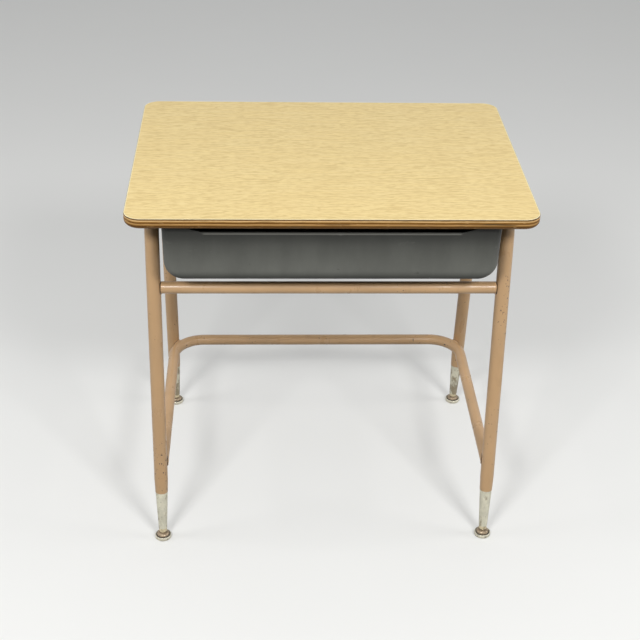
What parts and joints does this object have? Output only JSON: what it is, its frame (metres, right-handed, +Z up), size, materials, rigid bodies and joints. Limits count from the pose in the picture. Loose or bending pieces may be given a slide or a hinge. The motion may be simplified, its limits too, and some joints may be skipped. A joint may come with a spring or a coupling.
{
  "type": "school desk with lift lid",
  "caption": "Tube-frame school desk whose laminate lid lifts on rear hinges over a moulded grey book box; splayed legs end in swivel glides.",
  "frame": {"origin": "on the floor under the middle of the lid", "axes": "+Z up, +Y towards the hinges at the back, +X to the right of a pupil seated at -Y"},
  "size_m": [0.6096, 0.4572, 0.6056],
  "materials": {
    "maple_laminate": "satin laminate printed with pale maple grain",
    "plywood": "bare sealed plywood edge",
    "backer_sheet": "plain brown backer sheet",
    "tan_paint": "chipped satin tan enamel",
    "grey_plastic": "scuffed moulded plastic",
    "nickel_tip": "dull plated steel",
    "glide_nickel": "grimy nickel plate",
    "brown_metal": "dull brown plate",
    "zinc_steel": "dull zinc plate",
    "black_rubber": "matte",
    "white_nylon": "matte"
  },
  "bodies": {
    "frame": {"left_hinge_ear": "tan_paint", "right_hinge_ear": "tan_paint", "left_hinge_pin": "zinc_steel", "right_hinge_pin": "zinc_steel", "left_hinge_washer": "white_nylon", "right_hinge_washer": "white_nylon", "left_side_frame": "tan_paint", "right_side_frame": "tan_paint", "front_rail": "tan_paint", "rear_rail": "tan_paint", "lower_stretcher": "tan_paint", "frame_welds": "tan_paint", "book_box": "grey_plastic", "book_box_screws": "zinc_steel", "front_left_leg_tip": "nickel_tip", "front_left_glide_stem": "glide_nickel", "front_right_leg_tip": "nickel_tip", "front_right_glide_stem": "glide_nickel", "rear_left_leg_tip": "nickel_tip", "rear_left_glide_stem": "glide_nickel", "rear_right_leg_tip": "nickel_tip", "rear_right_glide_stem": "glide_nickel"},
    "lid": {"lid_core": "plywood", "lid_laminate": "maple_laminate", "lid_backer": "backer_sheet", "lid_bumpers": "black_rubber", "left_hinge_bracket": "zinc_steel", "right_hinge_bracket": "zinc_steel", "hinge_bracket_screws": "zinc_steel"},
    "front_left_glide": {"front_left_glide_base": "glide_nickel", "front_left_glide_cushion": "black_rubber", "front_left_glide_retainer": "brown_metal"},
    "front_right_glide": {"front_right_glide_base": "glide_nickel", "front_right_glide_cushion": "black_rubber", "front_right_glide_retainer": "brown_metal"},
    "rear_left_glide": {"rear_left_glide_base": "glide_nickel", "rear_left_glide_cushion": "black_rubber", "rear_left_glide_retainer": "brown_metal"},
    "rear_right_glide": {"rear_right_glide_base": "glide_nickel", "rear_right_glide_cushion": "black_rubber", "rear_right_glide_retainer": "brown_metal"}
  },
  "joints": [
    {"name": "lid_hinge", "type": "hinge", "parent": "frame", "child": "lid", "pos_m": [0, 0.216, 0.5789], "axis": [-1, 0, 0], "range_deg": [0, 95]},
    {"name": "front_left_glide_tilt", "type": "hinge", "parent": "frame", "child": "front_left_glide", "pos_m": [-0.27, -0.2089, 0.008], "axis": [1, 0, 0], "range_deg": [-8, 8]},
    {"name": "front_right_glide_tilt", "type": "hinge", "parent": "frame", "child": "front_right_glide", "pos_m": [0.27, -0.2089, 0.008], "axis": [1, 0, 0], "range_deg": [-8, 8]},
    {"name": "rear_left_glide_tilt", "type": "hinge", "parent": "frame", "child": "rear_left_glide", "pos_m": [-0.27, 0.1927, 0.008], "axis": [1, 0, 0], "range_deg": [-8, 8]},
    {"name": "rear_right_glide_tilt", "type": "hinge", "parent": "frame", "child": "rear_right_glide", "pos_m": [0.27, 0.1927, 0.008], "axis": [1, 0, 0], "range_deg": [-8, 8]}
  ]
}
